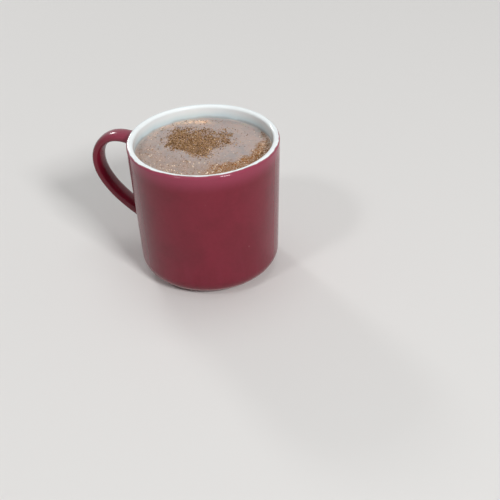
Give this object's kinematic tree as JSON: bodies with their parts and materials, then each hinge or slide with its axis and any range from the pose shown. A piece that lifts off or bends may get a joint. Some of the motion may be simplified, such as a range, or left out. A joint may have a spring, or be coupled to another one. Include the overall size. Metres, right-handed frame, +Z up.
{
  "type": "chai latte",
  "caption": "Milky spiced tea under a head of milk foam dusted with cinnamon, in a dark red stoneware mug with a looped handle, glazed white inside.",
  "frame": {"origin": "on the mug's axis, in the plane of the foot ring that it stands on", "axes": "+Z up along the mug's axis, the handle's loop in the XZ plane on the -X side"},
  "size_m": [0.1121, 0.0838, 0.0804],
  "materials": {
    "red_glaze": "gloss",
    "white_glaze": "gloss",
    "bare_clay": "matte",
    "milk_tea": "gloss",
    "milk_foam": "satin",
    "cinnamon": "matte"
  },
  "bodies": {
    "root": {"mug": "red_glaze", "milk_tea": "milk_tea", "milk_foam": "milk_foam"}
  },
  "joints": []
}
